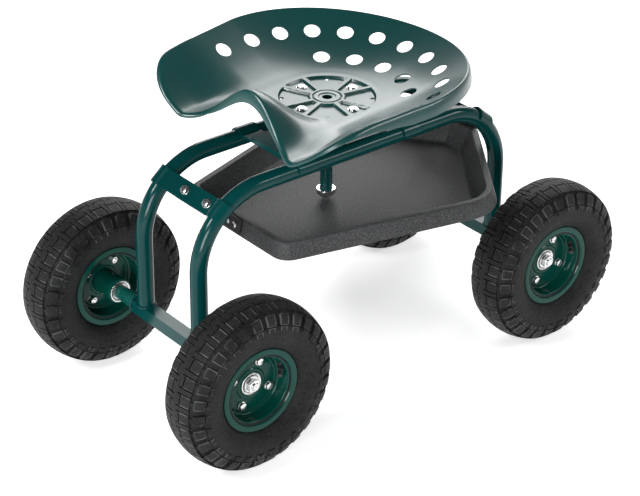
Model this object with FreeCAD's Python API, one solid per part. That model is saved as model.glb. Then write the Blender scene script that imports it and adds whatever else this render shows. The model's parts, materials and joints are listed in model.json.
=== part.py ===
"""Rolling garden seat: a tube frame on four pneumatic wheels, a turning tractor seat and a tool tray.

Millimetres, +Z up.  The origin lies on the ground, midway between the four wheels.
-X is the front, where the rider's legs go, and -Y is the rider's left.
"""
import FreeCAD, Part
import math
import os

V = FreeCAD.Vector

# Driving dimensions of the chassis
wheel_base = 562.0
track = 360.0
tyre_diameter = 254.0
rail_diameter = 25.0
rail_wall = 2.0
rail_spacing = 132.0
rail_top = 355.0
rail_bend = 110.0
beam_size = 20.0
beam_wall = 2.0
beam_length = 180.0

# Wheels, with lengths along the axle counted outwards from the middle of the tyre
tyre_width = 81.0
tyre_wall = 6.5
tread_half_width = 27.0
crown_drop = 5.0
shoulder_drop = 5.0
shoulder_run = 6.0
tread_pitches = 30
gutter_width = 5.2
gutter_depth = 3.0
channel_width = 9.3
channel_depth = 3.4
channel_end = 0.3
bead_width = 10.0
bead_clearance = 0.15
bead_taper = 1.0
flange_clearance = 1.0
wall_foot_rise = 1.5
wall_foot_run = 3.0
shoulder_extra = 4.0
rim_flange_radius = 63.0
rim_seat_radius = 50.8
rim_width = 56.0
rim_plate = 2.0
rim_mate = 1.0
rim_corner = 6.0
rim_boss_radius = 24.0
rim_boss_rise = 1.5
hub_radius = 19.0
hub_wall = 3.0
hub_outer_end = 5.0
hub_inner_end = -46.0
bearing_bore = 12.1
bearing_width = 10.0
rim_bolt_circle = 34.25
rim_bolt_size = 6.0
rim_bolt_count = 4
rim_bolt_turn = 26.0
valve_turn = 161.0
valve_radius = 4.0
valve_reach = 15.0
valve_along = 10.5

# How far each wheel has rolled round at rest
front_left_turn = 0.0
front_right_turn = 29.0
rear_left_turn = 1.0
rear_right_turn = 50.0

# Axles
axle_diameter = 12.0
axle_tip = 16.4
spacer_diameter = 22.0
end_float = 0.3
axle_washer_radius = 12.0
axle_washer_thickness = 1.5
axle_nut_width = 18.0
axle_nut_height = 7.0

# Saddle straps, bent over both rails
strap_thickness = 3.0
strap_flat = 6.0
strap_fit = 0.1
crossbar_width = 29.0
crossbar_angle = 50.0
seat_strap_width = 32.0
seat_strap_offset = 97.0
strap_bolt_size = 6.0
strap_bolt_spacing = 51.0
strap_bolt_middle = -17.5

# Seat bearer, screw bush and spindle
bearer_width = 70.0
bearer_thickness = 5.0
bush_radius = 17.0
bush_length = 30.0
spindle_diameter = 18.6
spindle_tail = 3.0
running_clearance = 0.06
stop_height = 262.0
stop_washer_radius = 14.5
stop_washer_thickness = 3.0
stop_nut_width = 24.0
stop_nut_height = 7.0

# Seat, in its own frame: u points to the back of the seat, v to its right
seat_floor = 413.5
seat_turn = 6.4
pan_thickness = 2.2
pan_back_radius = 207.0
pan_front = -187.0
pan_front_half = 193.0
pan_corner = 56.0
pan_notch = 15.0
pan_notch_half = 105.0
pan_flange = 20.0
pan_flange_wall = 2.5
flange_shallow = 6.0
flange_front = -150.0
flange_run = 110.0
lip_depth = 18.0
lip_half = 85.0
bowl_start = 75.0
bowl_rim = 201.0
bowl_power = 1.3
rim_height_back = 47.0
rim_height_side = 59.0
channel_place = 111.0
channel_drop = 2.0
pommel_height = 60.0
pommel_power = 1.25
front_wall_height = 60.0
front_wall_power = 1.35
blend_start = 74.0
blend_length = 90.0
hole_diameter = 25.0
inner_row_radius = 117.0
inner_row_step = 24.3
inner_row_half = 2
outer_row_radius = 164.0
outer_row_step = 17.5
outer_row_half = 5
end_hole_radius = 171.5
end_hole_turn = 106.8
hole_reach = 8.0
disc_radius = 73.5
disc_depth = 8.0
disc_lip = 0.4
join_tolerance = 0.01
disc_wall = 3.0
disc_rib = 6.5
disc_rib_turn = 17.0
disc_boss_radius = 20.0
disc_hole_radius = 7.5
drain_circle = 65.7
drain_radius = 3.5
seat_screw_circle = 52.0
seat_screw_size = 6.0
seat_plate_radius = 66.0
seat_plate_thickness = 4.0
socket_wall = 5.0
socket_gap = 0.3

# Tool tray, in its own frame: z = 0 is the top of its rim, which leans up to the rear
tray_tilt = 1.72
tray_height = 279.8
tray_front = -158.0
tray_front_half = 105.0
tray_rear_corner = 147.6
tray_rear_half = 192.0
tray_tail = 268.6
tray_tail_half = 22.0
tray_front_corner_radius = 12.0
tray_rear_corner_radius = 48.0
tray_tail_corner_radius = 14.0
tray_rim = 10.0
tray_skirt_run = 7.0
tray_skirt_drop = 25.0
tray_depth = 32.0
tray_draft = 18.0
tray_wall = 3.0

# Hangers that carry the tray from the crossbars
hanger_thickness = 2.5
hanger_width = 40.0
hanger_tab = 20.0
hanger_gap = 0.2
hanger_margin = 9.0
tray_screw_size = 5.0
tray_screw_spacing = 16.0
tray_screw_drop = 11.0

# Sizes that follow
half_base = wheel_base / 2
half_track = track / 2
axle_height = tyre_diameter / 2
rail_radius = rail_diameter / 2
rail_side = rail_spacing / 2
beam_top = axle_height + beam_size / 2
saddle_radius = rail_radius + strap_fit
strap_top = strap_flat + strap_thickness
bend_x = half_base - rail_bend
bend_z = rail_top - rail_bend
bearer_bottom = rail_top + strap_top
bearer_top = bearer_bottom + bearer_thickness
spindle_radius = spindle_diameter / 2
spindle_bottom = stop_height - stop_nut_height - spindle_tail
plate_top = seat_floor - disc_depth
plate_bottom = plate_top - seat_plate_thickness
socket_length = plate_bottom - bearer_top - socket_gap
head = 0.65
nut = 0.8
hex_width = 1.67
washer_reach = 1.0


def box(x0, x1, y0, y1, z0, z1):
    """Block between two corners."""
    return Part.makeBox(x1 - x0, y1 - y0, z1 - z0, V(x0, y0, z0))


def rod(radius, start, along, length):
    """Cylinder from a start point along a direction."""
    return Part.makeCylinder(radius, length, start, along)


def tube(outer, inner, start, along, length):
    """Cylinder with a bore."""
    return rod(outer, start, along, length).cut(rod(inner, start, along, length))


def hex_prism(width, start, along, length):
    """Six-sided prism, width across its flats, from a start point along a direction."""
    corner = width / math.sqrt(3)
    points = [V(corner * math.cos(math.radians(60 * i)), corner * math.sin(math.radians(60 * i)), 0) for i in range(7)]
    solid = Part.Face(Part.makePolygon(points)).extrude(V(0, 0, length))
    solid.Placement = FreeCAD.Placement(start, FreeCAD.Rotation(V(0, 0, 1), along))
    return solid


def hex_bolt(size, start, along, shank):
    """Bolt whose head's underside is at start, with its shank along the direction."""
    back = V(along).negative()
    return hex_prism(hex_width * size, start, back, head * size).fuse(rod(size / 2, start, along, shank))


def hex_nut(size, start, along):
    """Nut on a bolt of a size, with its face at start."""
    solid = hex_prism(hex_width * size, start, along, nut * size)
    return solid.cut(rod(size / 2, start, along, nut * size))


def rounded_wire(corners, radii):
    """Closed wire of straight edges and tangent arcs, one radius to each corner."""
    starts, ends, middles = [], [], []
    count = len(corners)
    for i in range(count):
        point = corners[i]
        to_last = (corners[i - 1] - point).normalize()
        to_next = (corners[(i + 1) % count] - point).normalize()
        half = to_last.getAngle(to_next) / 2
        setback = radii[i] / math.tan(half)
        inward = (to_last + to_next).normalize()
        starts.append(point + to_last * setback)
        ends.append(point + to_next * setback)
        middles.append(point + inward * (radii[i] / math.sin(half) - radii[i]))
    edges = []
    for i in range(count):
        if radii[i] > 0:
            edges.append(Part.Arc(starts[i], middles[i], ends[i]).toShape())
        edges.append(Part.makeLine(ends[i], starts[(i + 1) % count]))
    return Part.Wire(edges)


def grown(corners, distance):
    """Corners of a convex outline, listed anticlockwise, with each side moved outwards."""
    result = []
    count = len(corners)
    for i in range(count):
        before = (corners[i] - corners[i - 1]).normalize()
        after = (corners[(i + 1) % count] - corners[i]).normalize()
        out_a = V(before.y, -before.x, 0)
        out_b = V(after.y, -after.x, 0)
        result.append(corners[i] + (out_a + out_b) * (distance / (1 + out_a.dot(out_b))))
    return result


def spun(wire):
    """Solid of revolution about the Y axis of a closed wire in the plane Z = 0, X being the radius."""
    return Part.Face(wire).revolve(V(0, 0, 0), V(0, 1, 0), 360)


def save(name, shapes):
    """Write one node from its separate solids."""
    solids = [solid for shape in shapes for solid in shape.Solids]
    shape = solids[0] if len(solids) == 1 else Part.makeCompound(solids)
    shape.exportStep("parts/" + name + ".step")


def turned(shape):
    """Copy of a front shape turned to the rear."""
    return shape.copy().rotate(V(0, 0, 0), V(0, 0, 1), 180)


# Frame


def rail(side):
    """Bent tube from the front axle up, over and down to the rear axle."""
    y = side * rail_side
    turn = rail_bend * math.sqrt(0.5)
    front = [
        V(-half_base, y, beam_top), V(-half_base, y, bend_z),
        V(-bend_x - turn, y, bend_z + turn), V(-bend_x, y, rail_top),
    ]
    rear = [V(-p.x, p.y, p.z) for p in front]
    path = Part.Wire([
        Part.makeLine(front[0], front[1]),
        Part.Arc(front[1], front[2], front[3]).toShape(),
        Part.makeLine(front[3], rear[3]),
        Part.Arc(rear[3], rear[2], rear[1]).toShape(),
        Part.makeLine(rear[1], rear[0]),
    ])
    skins = []
    for radius in (rail_radius, rail_radius - rail_wall):
        section = Part.Wire([Part.Circle(front[0], V(0, 0, 1), radius).toShape()])
        skins.append(path.makePipeShell([section], True, False))
    return skins[0].cut(skins[1])


def axle_beam(x):
    """Square tube across the frame under the rails' feet."""
    half = beam_size / 2
    bore = half - beam_wall
    long = beam_length / 2
    beam = box(x - half, x + half, -long, long, axle_height - half, axle_height + half)
    return beam.cut(box(x - bore, x + bore, -long, long, axle_height - bore, axle_height + bore))


def stub_axle(x, side):
    """Spacer and spindle that a wheel turns on, welded to the end of a beam."""
    inner = beam_length / 2
    shoulder = half_track + hub_inner_end - end_float
    out = V(0, side, 0)
    spacer = rod(spacer_diameter / 2, V(x, side * inner, axle_height), out, shoulder - inner)
    shaft = rod(axle_diameter / 2, V(x, side * shoulder, axle_height), out, half_track + axle_tip - shoulder)
    return spacer.fuse(shaft)


def axle_fittings(x, side):
    """Washer and nut that keep a wheel on its axle."""
    out = V(0, side, 0)
    start = half_track + hub_outer_end + end_float
    bore = axle_diameter / 2
    washer = tube(axle_washer_radius, bore, V(x, side * start, axle_height), out, axle_washer_thickness)
    seat = V(x, side * (start + axle_washer_thickness), axle_height)
    lock = hex_prism(axle_nut_width, seat, out, axle_nut_height).cut(rod(bore, seat, out, axle_nut_height))
    return washer, lock


def saddle_strap(width):
    """Flat strap with ends bent over both rails; rails along X at Z = 0, strap above them."""
    outer = saddle_radius + strap_thickness

    def arc(radius, level, side, downward):
        """Saddle arc of a radius over one rail, from its outer end up to the flat's level."""
        end = V(0, side * (rail_side + radius), 0)
        top = V(0, side * rail_side, radius)
        meet = V(0, side * (rail_side - math.sqrt(radius ** 2 - level ** 2)), level)
        points = (end, top, meet) if downward else (meet, top, end)
        return Part.Arc(*points).toShape(), end, meet

    over_a, end_a, meet_a = arc(outer, strap_top, -1, True)
    over_b, end_b, meet_b = arc(outer, strap_top, 1, False)
    under_b, low_b, join_b = arc(saddle_radius, strap_flat, 1, True)
    under_a, low_a, join_a = arc(saddle_radius, strap_flat, -1, False)
    wire = Part.Wire([
        over_a, Part.makeLine(meet_a, meet_b), over_b, Part.makeLine(end_b, low_b),
        under_b, Part.makeLine(join_b, join_a), under_a, Part.makeLine(low_a, end_a),
    ])
    strap = Part.Face(wire).extrude(V(width, 0, 0))
    strap.translate(V(-width / 2, 0, 0))
    return strap


def on_bend(shape):
    """Place a shape made over a level rail on the middle of the front bend."""
    shape = shape.copy()
    shape.translate(V(0, 0, rail_bend))
    shape.rotate(V(0, 0, 0), V(0, 1, 0), crossbar_angle - 90)
    shape.translate(V(-bend_x, 0, bend_z))
    return shape


def strap_bolt_places():
    """Places of the two bolts along a crossbar."""
    return [strap_bolt_middle + sign * strap_bolt_spacing / 2 for sign in (-1, 1)]


def crossbar():
    """Front crossbar with the holes for its two bolts."""
    strap = saddle_strap(crossbar_width)
    for y in strap_bolt_places():
        strap = strap.cut(rod(strap_bolt_size / 2, V(0, y, 0), V(0, 0, 1), strap_top))
    return on_bend(strap)


def strap_bolts():
    """Bolts through the front crossbar and hanger, heads outside."""
    reach = strap_thickness + hanger_thickness + nut * strap_bolt_size + washer_reach
    return [on_bend(hex_bolt(strap_bolt_size, V(0, y, strap_top), V(0, 0, -1), reach)) for y in strap_bolt_places()]


def strap_nuts():
    """Nuts under the front hanger's flange."""
    level = strap_flat - hanger_thickness
    return [on_bend(hex_nut(strap_bolt_size, V(0, y, level), V(0, 0, -1))) for y in strap_bolt_places()]


# Seat support


def seat_strap(x):
    """Strap over the level run of both rails, under one end of the bearer."""
    strap = saddle_strap(seat_strap_width)
    strap.translate(V(x, 0, rail_top))
    return strap


def bearer():
    """Plate from strap to strap that carries the screw bush."""
    half = seat_strap_offset + seat_strap_width / 2
    wide = bearer_width / 2
    plate = box(-half, half, -wide, wide, bearer_bottom, bearer_top)
    corners = [edge for edge in plate.Edges if abs(edge.Vertexes[0].Z - edge.Vertexes[1].Z) > 1]
    plate = plate.makeFillet(seat_strap_width / 4, corners)
    return plate.cut(rod(spindle_radius + running_clearance, V(0, 0, bearer_bottom), V(0, 0, 1), bearer_thickness))


def screw_bush():
    """Bush welded under the bearer, in which the spindle turns."""
    start = V(0, 0, bearer_bottom - bush_length)
    return tube(bush_radius, spindle_radius + running_clearance, start, V(0, 0, 1), bush_length)


def spindle():
    """Screw spindle under the seat."""
    return rod(spindle_radius, V(0, 0, spindle_bottom), V(0, 0, 1), plate_bottom - end_float - spindle_bottom)


def stop_washer():
    """Washer near the foot of the spindle, which stops the seat from being wound out."""
    return tube(stop_washer_radius, spindle_radius, V(0, 0, stop_height), V(0, 0, 1), stop_washer_thickness)


def stop_nut():
    """Nut under the stop washer."""
    start = V(0, 0, stop_height - stop_nut_height)
    solid = hex_prism(stop_nut_width, start, V(0, 0, 1), stop_nut_height)
    return solid.cut(rod(spindle_radius, start, V(0, 0, 1), stop_nut_height))


# Seat


def bowl_height(u, v):
    """Height of the bowl: flat to the disc's edge, then rising as a power of the distance."""
    behind = max(u, 0.0)
    distance = math.hypot(behind, v)
    share = min(max((distance - bowl_start) / (bowl_rim - bowl_start), 0.0), 1.0)
    facing = (behind / distance) ** 2 if distance > 0 else 0.0
    rim = rim_height_side + (rim_height_back - rim_height_side) * facing
    return rim * share ** bowl_power


def front_height(v):
    """Height along the front edge: a pommel between two leg channels, then the side walls."""
    away = abs(v)
    if away < channel_place:
        share = (1 + math.cos(math.pi * away / channel_place)) / 2
        return pommel_height * share ** pommel_power - channel_drop
    share = min((away - channel_place) / (bowl_rim - channel_place), 1.0)
    return front_wall_height * share ** front_wall_power - channel_drop


def pan_height(u, v):
    """Height of the pan's upper face over its floor: the bowl blends into the front edge's wave."""
    share = min(max((-u - blend_start) / blend_length, 0.0), 1.0)
    blend = math.sin(math.pi / 2 * share)
    return (1 - blend) * bowl_height(u, v) + blend * front_height(v)


def flange_depth(u, v):
    """Depth of the turned-down edge: shallow at the front but for a lip under the pommel."""
    share = min(max((u - flange_front) / flange_run, 0.0), 1.0)
    deep = flange_shallow + (pan_flange - flange_shallow) * share
    lip = lip_depth * max(1 - (v / lip_half) ** 2, 0.0) * min(max(-u / flange_run, 0.0), 1.0)
    return max(deep, lip)


def pan_outline(inset):
    """Outline of the pan in plan: a half round back, straight sides and a notched front."""
    radius = pan_back_radius - inset
    front = pan_front + inset
    wide = pan_front_half - inset
    corner = pan_corner - inset
    slant = corner * (1 - math.sqrt(0.5))
    notch = V(front + pan_notch, 0, 0)
    ends = [
        V(0, radius, 0), V(front + corner, wide, 0), V(front + slant, wide - slant, 0),
        V(front, wide - corner, 0), V(front, pan_notch_half, 0),
    ]
    flip = [V(p.x, -p.y, 0) for p in ends]
    return Part.Wire([
        Part.Arc(flip[0], V(radius, 0, 0), ends[0]).toShape(),
        Part.makeLine(ends[0], ends[1]),
        Part.Arc(ends[1], ends[2], ends[3]).toShape(),
        Part.makeLine(ends[3], ends[4]),
        Part.Arc(ends[4], notch, flip[4]).toShape(),
        Part.makeLine(flip[4], flip[3]),
        Part.Arc(flip[3], flip[2], flip[1]).toShape(),
        Part.makeLine(flip[1], flip[0]),
    ])


def pan_slab(depth, thickness):
    """Curved sheet wider than the pan: its upper face lies a depth under the pan's own."""
    margin = 10.0
    steps = 18
    length = pan_back_radius - pan_front + 2 * margin
    width = 2 * (pan_back_radius + margin)
    grid = []
    for i in range(steps + 1):
        u = pan_front - margin + length * i / steps
        across = [width * (j / steps - 0.5) for j in range(steps + 1)]
        grid.append([V(u, v, pan_height(u, v) - depth(u, v)) for v in across])
    surface = Part.BSplineSurface()
    surface.interpolate(grid)
    return surface.toShape().extrude(V(0, 0, -thickness))


def prism(wire, low, high):
    """Upright prism over a flat wire between two heights."""
    solid = Part.Face(wire).extrude(V(0, 0, high - low))
    solid.translate(V(0, 0, low))
    return solid


def polar(radius, degrees, z):
    """Point at a distance and direction from the seat's axis."""
    return V(radius * math.cos(math.radians(degrees)), radius * math.sin(math.radians(degrees)), z)


def pressed_disc():
    """Ribbed dish in the middle of the seat, with a boss round the centre hole."""
    up = V(0, 0, 1)
    tall = disc_depth - disc_lip
    floor = rod(disc_radius, V(0, 0, -disc_depth), up, pan_thickness)
    wall = tube(disc_radius, disc_radius - disc_wall, V(0, 0, -disc_depth), up, tall)
    boss = rod(disc_boss_radius, V(0, 0, -disc_depth), up, tall)
    disc = floor.fuse([wall, boss])
    ribs = []
    for quarter in range(4):
        for sign in (-1, 1):
            rib = box(0, disc_radius - disc_wall / 2, -disc_rib / 2, disc_rib / 2, -disc_depth, -disc_lip)
            rib.rotate(V(0, 0, 0), up, 90 * quarter + sign * disc_rib_turn)
            ribs.append(rib)
    disc = disc.fuse(ribs)
    bores = [rod(disc_hole_radius, V(0, 0, -disc_depth), up, disc_depth)]
    for quarter in range(4):
        screw = polar(seat_screw_circle, 90 * quarter, -disc_depth)
        drain = polar(drain_circle, 90 * quarter + 45, -disc_depth)
        bores.append(rod(seat_screw_size / 2, screw, up, disc_depth))
        bores.append(rod(drain_radius, drain, up, disc_depth))
    return disc.cut(bores).removeSplitter()


def hole_places():
    """Distance and direction of every hole in the two rows round the back of the seat."""
    places = [(inner_row_radius, i * inner_row_step) for i in range(-inner_row_half, inner_row_half + 1)]
    places += [(outer_row_radius, i * outer_row_step) for i in range(-outer_row_half, outer_row_half + 1)]
    return places + [(end_hole_radius, -end_hole_turn), (end_hole_radius, end_hole_turn)]


def hole_rod(radius, turn):
    """Cutter of one hole, square to the sheet at its place."""
    foot = polar(radius, turn, 0)
    slope_u = (pan_height(foot.x + 1, foot.y) - pan_height(foot.x - 1, foot.y)) / 2
    slope_v = (pan_height(foot.x, foot.y + 1) - pan_height(foot.x, foot.y - 1)) / 2
    square = V(-slope_u, -slope_v, 1).normalize()
    foot.z = pan_height(foot.x, foot.y)
    return rod(hole_diameter / 2, foot - square * hole_reach, square, 2 * hole_reach)


def seat_pan():
    """Pressed pan: dished sheet, turned-down edge, two rows of holes and the ribbed disc."""
    low, high = -2 * pan_flange - channel_drop, 2 * pommel_height
    up = V(0, 0, 1)
    whole = prism(pan_outline(0), low, high)
    core = prism(pan_outline(pan_flange_wall), low, high)
    blank = pan_slab(lambda u, v: 0.0, 1.5 * pan_flange).common(whole)
    beneath = pan_slab(flange_depth, 2 * pan_flange)
    inside = pan_slab(lambda u, v: pan_thickness, 2 * pan_flange).common(core)
    holes = [rod(disc_radius - disc_wall / 2, V(0, 0, low), up, high - low)]
    holes += [hole_rod(radius, turn) for radius, turn in hole_places()]
    return blank.cut(beneath).cut(inside).cut(holes).fuse([pressed_disc()], join_tolerance)


def seat_plate():
    """Round plate under the disc with the socket that turns on the spindle."""
    up = V(0, 0, 1)
    bore = spindle_radius + running_clearance
    plate = rod(seat_plate_radius, V(0, 0, -disc_depth - seat_plate_thickness), up, seat_plate_thickness)
    for quarter in range(4):
        start = polar(seat_screw_circle, 90 * quarter, -disc_depth - seat_plate_thickness)
        plate = plate.cut(rod(seat_screw_size / 2, start, up, seat_plate_thickness))
    start = V(0, 0, -disc_depth - seat_plate_thickness - socket_length)
    return plate.fuse(tube(bore + socket_wall, bore, start, up, socket_length))


def seat_screws():
    """Pan-head screws through the disc and the plate."""
    result = []
    level = pan_thickness - disc_depth
    reach = pan_thickness + seat_plate_thickness + nut * seat_screw_size + washer_reach
    for quarter in range(4):
        start = polar(seat_screw_circle, 90 * quarter, level)
        cap = Part.makeCone(seat_screw_size, seat_screw_size / 2, head * seat_screw_size, start)
        result.append(cap.fuse(rod(seat_screw_size / 2, start, V(0, 0, -1), reach)))
    return result


def seat_nuts():
    """Nuts under the plate."""
    level = -disc_depth - seat_plate_thickness
    places = [polar(seat_screw_circle, 90 * quarter, level) for quarter in range(4)]
    return [hex_nut(seat_screw_size, place, V(0, 0, -1)) for place in places]


def on_seat(shapes):
    """Turn and lift shapes from the seat's own frame."""
    result = []
    for shape in shapes:
        shape = shape.copy()
        shape.rotate(V(0, 0, 0), V(0, 0, 1), seat_turn)
        shape.translate(V(0, 0, seat_floor))
        result.append(shape)
    return result


# Tool tray


def tray_wire(offset, z):
    """Outline of the tray's inner edge, grown by an offset, at a height."""
    half = [V(tray_front, -tray_front_half, 0), V(tray_rear_corner, -tray_rear_half, 0), V(tray_tail, -tray_tail_half, 0)]
    corners = half + [V(p.x, -p.y, 0) for p in reversed(half)]
    radii = [tray_front_corner_radius, tray_rear_corner_radius, tray_tail_corner_radius]
    radii = [max(radius + offset, 2.0) for radius in radii + radii[::-1]]
    wire = rounded_wire(grown(corners, offset), radii)
    wire.translate(V(0, 0, z))
    return wire


def tapered(offset_a, z_a, offset_b, z_b):
    """Solid between two grown outlines at two heights."""
    return Part.makeLoft([tray_wire(offset_a, z_a), tray_wire(offset_b, z_b)], True, True)


def tray_screw_places():
    """Places of the two screws across a hanger's tab."""
    return [sign * tray_screw_spacing / 2 for sign in (-1, 1)]


def tool_tray():
    """Moulded tray: a tapered tub, a flat rim and a skirt that leans outwards."""
    run = tray_rim + tray_skirt_run
    drop = tray_skirt_drop
    slope = tray_skirt_run / drop
    outside = tapered(tray_rim, 0, run, -drop)
    under = tapered(tray_rim + tray_wall * (slope - 1), -tray_wall, run - tray_wall + 0.5 * slope, -drop - 0.5)
    tub = tapered(tray_wall, -tray_wall / 2, tray_wall - tray_draft, -tray_depth - tray_wall)
    hollow = tapered(0, 0, -tray_draft, -tray_depth)
    return outside.cut(under).fuse(tub).cut(hollow).removeSplitter()


def on_frame(shape):
    """Tilt and lift a shape from the tray's own frame."""
    shape = shape.copy()
    shape.rotate(V(0, 0, 0), V(0, 1, 0), -tray_tilt)
    shape.translate(V(0, 0, tray_height))
    return shape


def skirt_out(end):
    """Direction that the skirt faces at the front (-1) or the tail (1), in the tray's frame."""
    return V(end * tray_skirt_drop, 0, tray_skirt_run).normalize()


def skirt_point(end, drop, off, y):
    """Point at a distance off the outside of the skirt, in the tray's frame."""
    inner = tray_front if end < 0 else tray_tail
    lean = tray_rim + tray_skirt_run * drop / tray_skirt_drop
    return V(inner + end * lean, y, -drop) + skirt_out(end) * off


def tray_fixings(end):
    """Screws, nuts and screw holes of one hanger's tab, placed in the frame."""
    screws, nuts, holes = [], [], []
    inward = skirt_out(end).negative()
    outside = hanger_gap + hanger_thickness
    wall = tray_wall * skirt_out(1).x
    reach = outside + wall + nut * tray_screw_size + washer_reach
    for y in tray_screw_places():
        start = skirt_point(end, tray_screw_drop, outside, y)
        inside = skirt_point(end, tray_screw_drop, -wall, y)
        screws.append(on_frame(hex_bolt(tray_screw_size, start, inward, reach)))
        nuts.append(on_frame(hex_nut(tray_screw_size, inside, inward)))
        holes.append(on_frame(rod(tray_screw_size / 2, start, inward, outside + wall)))
    return screws, nuts, holes


def bend_point(end, along, off):
    """Point of the XZ plane on a bend: along the crossbar's slope and off the rail's axis."""
    turn = math.radians(crossbar_angle)
    x = bend_x + (rail_bend + off) * math.cos(turn) + along * math.sin(turn)
    return V(end * x, 0, bend_z + (rail_bend + off) * math.sin(turn) - along * math.cos(turn))


def strip(points, low, high):
    """Bent strip to the right of a path in the XZ plane, between two places along Y."""
    left, right = [], []
    for i, point in enumerate(points):
        before = points[max(i, 1)] - points[max(i, 1) - 1]
        last = min(i, len(points) - 2)
        after = points[last + 1] - points[last]
        out_a = V(before.z, 0, -before.x).normalize()
        out_b = V(after.z, 0, -after.x).normalize()
        left.append(V(point.x, low, point.z))
        right.append(left[-1] + (out_a + out_b) * (hanger_thickness / (1 + out_a.dot(out_b))))
    outline = left + right[::-1]
    return Part.Face(Part.makePolygon(outline + outline[:1])).extrude(V(0, high - low, 0))


def hanger(end, holes):
    """Bracket from under a crossbar to the tray's skirt: a wide flange, a neck and a tab."""
    half = crossbar_width / 2
    slope = [bend_point(end, -end * half, strap_flat), bend_point(end, end * half, strap_flat)]
    off = hanger_gap + (hanger_thickness if end > 0 else 0.0)
    tab = [on_frame(Part.Vertex(skirt_point(end, drop, off, 0))).Point for drop in (0.0, hanger_tab)]
    neck = strip(slope + tab, -hanger_width / 2, hanger_width / 2)
    places = [-end * y for y in strap_bolt_places()]
    flange = strip(slope, min(places) - hanger_margin, max(places) + hanger_margin)
    bolts = strap_bolts() if end < 0 else [turned(bolt) for bolt in strap_bolts()]
    return neck.fuse(flange).cut(bolts + holes)


# Wheels, made about the Y axis with +Y outwards


def tyre():
    """Hollow tyre: crown, shoulders and sidewalls on two beads, open towards the rim."""
    outer = tyre_diameter / 2
    half = tyre_width / 2
    seat = rim_seat_radius + bead_clearance
    edge = rim_width / 2 - rim_plate - bead_clearance
    middle = (outer + rim_flange_radius) / 2
    shoulder = outer - crown_drop
    clear = rim_flange_radius + flange_clearance

    def side(sign):
        """Points of one half of the section, from the bead to the crown."""
        return [V(r, sign * y, 0) for r, y in (
            (seat, edge - bead_width), (seat, edge), (clear, edge), (clear + wall_foot_rise, edge + wall_foot_run),
            (middle, half), (shoulder - shoulder_drop, tread_half_width + shoulder_run))]

    def gutter(sign):
        """Corners of the groove between the shoulder lugs and the crown, from the lugs inwards."""
        run = V(-shoulder_drop, sign * shoulder_run, 0).normalize()
        deep = V(shoulder_run, sign * shoulder_drop, 0).normalize() * gutter_depth
        near = V(shoulder, sign * tread_half_width, 0)
        far = near + run * gutter_width
        return [far, far - deep, near - deep, near]

    def inside(sign):
        """Points of the inner face of one half."""
        inner = half - tyre_wall
        return [V(r, sign * y, 0) for r, y in (
            (clear, edge - bead_width + bead_taper), (middle, inner),
            (shoulder - tyre_wall - shoulder_extra, tread_half_width))]

    a, b = side(1), side(-1)
    c, d = inside(1), inside(-1)
    e, g = gutter(1), gutter(-1)
    body = spun(Part.Wire([
        Part.makeLine(a[0], a[1]), Part.makeLine(a[1], a[2]), Part.makeLine(a[2], a[3]),
        Part.Arc(a[3], a[4], a[5]).toShape(), Part.makeLine(a[5], e[0]),
        Part.makeLine(e[0], e[1]), Part.makeLine(e[1], e[2]), Part.makeLine(e[2], e[3]),
        Part.Arc(e[3], V(outer, 0, 0), g[3]).toShape(),
        Part.makeLine(g[3], g[2]), Part.makeLine(g[2], g[1]), Part.makeLine(g[1], g[0]),
        Part.makeLine(g[0], b[5]), Part.Arc(b[5], b[4], b[3]).toShape(),
        Part.makeLine(b[3], b[2]), Part.makeLine(b[2], b[1]), Part.makeLine(b[1], b[0]),
        Part.makeLine(b[0], d[0]), Part.Arc(d[0], d[1], d[2]).toShape(),
        Part.Arc(d[2], V(outer - tyre_wall, 0, 0), c[2]).toShape(),
        Part.Arc(c[2], c[1], c[0]).toShape(), Part.makeLine(c[0], a[0]),
    ]))
    return body.cut(shoulder_channels(a[5], a[4], 1) + shoulder_channels(b[5], b[4], -1))


def shoulder_channels(top, foot, sign):
    """Cutters between the shoulder lugs of one side, half a pitch on from the other side's."""
    run = (foot - top).normalize()
    out = V(sign * run.y, -sign * run.x, 0)
    start = top - run * (gutter_width / 2)
    deep = out * channel_depth
    corners = [start + deep, start - deep, foot - out * channel_end, foot + deep]
    blade = Part.Face(Part.makePolygon(corners + corners[:1])).extrude(V(0, 0, channel_width))
    blade.translate(V(0, 0, -channel_width / 2))
    pitch = 360 / tread_pitches
    first = pitch / 2 if sign > 0 else 0.0
    result = []
    for i in range(tread_pitches):
        cutter = blade.copy()
        cutter.rotate(V(0, 0, 0), V(0, 1, 0), first + i * pitch)
        result.append(cutter)
    return result


def rim_half(side):
    """Pressed half rim: a disc round the hub, a barrel under the bead and a flange."""
    bore = hub_radius + bead_clearance
    inside = rim_seat_radius - rim_plate
    wide = rim_width / 2
    start = rim_mate
    face = rim_mate + side * rim_plate
    boss = rim_boss_radius
    rise = rim_boss_rise
    step = side * rise
    profile = [
        (bore, start + step), (bore, face + step), (boss - rise, face + step), (boss, face),
        (inside, face), (inside, side * wide), (rim_flange_radius, side * wide),
        (rim_flange_radius, side * (wide - rim_plate)), (rim_seat_radius, side * (wide - rim_plate)),
        (rim_seat_radius, start), (boss + 0.5, start), (boss - rise, start + step),
    ]
    radii = [0, 0, 0, 0, rim_corner - rim_plate, rim_plate * 1.4, 0, 0, 0, rim_corner, 0, 0]
    solid = spun(rounded_wire([V(r, y, 0) for r, y in profile], radii))
    for i in range(rim_bolt_count):
        place = rim_bolt_place(i)
        solid = solid.cut(rod(rim_bolt_size / 2, V(place.x, start - rim_plate, place.z), V(0, 1, 0), 2 * rim_plate))
    if side > 0:
        solid = solid.cut(valve_rod(valve_radius + bead_clearance, rim_seat_radius + 1.0, 2 * valve_reach))
    return solid


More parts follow.
